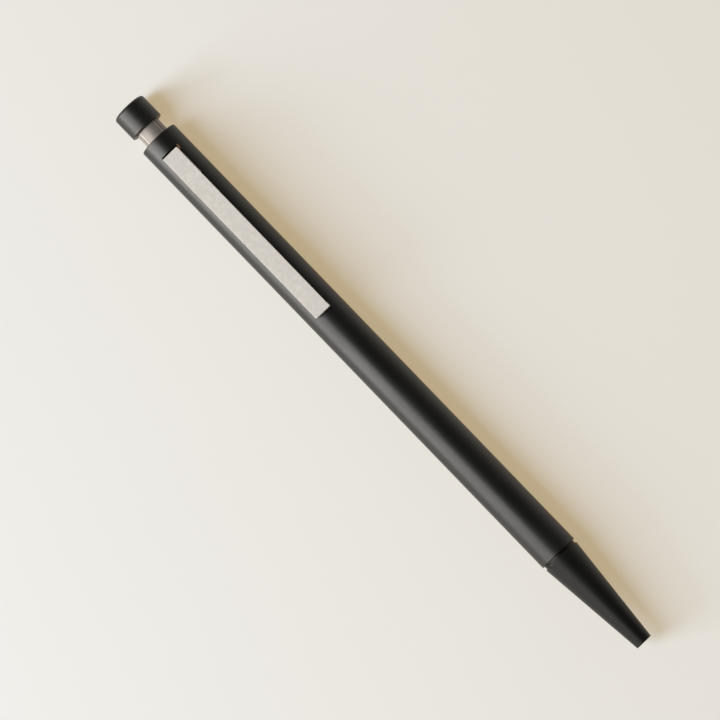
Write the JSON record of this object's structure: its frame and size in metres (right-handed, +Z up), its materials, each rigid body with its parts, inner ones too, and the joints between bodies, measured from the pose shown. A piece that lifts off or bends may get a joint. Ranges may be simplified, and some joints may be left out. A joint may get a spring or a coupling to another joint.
{
  "type": "retractable ballpoint pen",
  "caption": "Slim matt black retractable ballpoint pen with a cylindrical push button on a steel stem, a flat satin steel clip and a straight conical nose.",
  "frame": {"origin": "middle of the pen's length, on the table that it lies on", "axes": "+X along the pen towards the tip, +Z up out of the clip's face, +Y across"},
  "size_m": [0.139, 0.008, 0.0094],
  "materials": {
    "barrel_black": "matt black lacquer",
    "button_black": "matt black lacquer",
    "nose_black": "matt black lacquer",
    "clip_steel": "satin, finely brushed",
    "stem_steel": "polished",
    "insert_metal": "dark satin",
    "plain_steel": "plain",
    "blackened_steel": "chemically blackened",
    "black_acetal": "moulded",
    "spring_steel": "drawn wire",
    "brass": "plain",
    "ball_carbide": "polished carbide",
    "white_acetal": "moulded",
    "grey_acetal": "moulded"
  },
  "bodies": {
    "barrel": {"barrel_tube": "barrel_black", "rear_bush": "grey_acetal", "clip_carrier": "black_acetal", "clip_pin": "plain_steel", "clip_spring": "spring_steel", "cam_sleeve": "white_acetal", "front_insert": "insert_metal"},
    "button": {"button_cap": "button_black", "button_stem": "stem_steel", "push_rod": "blackened_steel", "cam_plunger": "white_acetal"},
    "refill": {"refill_plug": "brass", "refill_tube": "plain_steel", "refill_neck": "brass", "tip_socket": "plain_steel"},
    "rotor": {"cam_rotor": "grey_acetal"},
    "ball": {"writing_ball": "ball_carbide"},
    "clip": {"clip": "clip_steel"},
    "washer": {"spring_washer": "plain_steel", "return_spring": "spring_steel"},
    "nose": {"nose_cone": "nose_black"}
  },
  "joints": [
    {"name": "button_press", "type": "slide", "parent": "barrel", "child": "button", "axis": [1, 0, 0], "range_m": [0, 0.0028], "stiffness_N_per_m": 400, "springref_m": -0.001},
    {"name": "refill_advance", "type": "slide", "parent": "barrel", "child": "refill", "axis": [1, 0, 0], "range_m": [0, 0.0028], "deforming": ["return_spring"]},
    {"name": "rotor_turn", "type": "hinge", "parent": "refill", "child": "rotor", "pos_m": [-0.04047, 0, 0.004], "axis": [1, 0, 0], "range_deg": [-6, 6]},
    {"name": "ball_roll", "type": "hinge", "parent": "refill", "child": "ball", "pos_m": [0.06857, 0, 0.004], "axis": [0, 1, 0], "continuous": true},
    {"name": "clip_lift", "type": "hinge", "parent": "barrel", "child": "clip", "pos_m": [-0.05227, 0, 0.0063], "axis": [0, -1, 0], "range_deg": [0, 4], "stiffness_Nm_per_rad": 0.1, "springref_deg": -0.11, "deforming": ["clip_spring"]},
    {"name": "nose_travel", "type": "slide", "parent": "barrel", "child": "washer", "axis": [1, 0, 0], "range_m": [0, 0.004], "deforming": ["return_spring"]},
    {"name": "nose_unscrew", "type": "hinge", "parent": "washer", "child": "nose", "pos_m": [0.05053, 0, 0.004], "axis": [1, 0, 0], "range_deg": [0, 2881]}
  ],
  "couplings": [
    {"joint": "refill_advance", "follows": "button_press", "ratio": 1},
    {"joint": "nose_unscrew", "follows": "nose_travel", "rad_per_m": 12566}
  ]
}
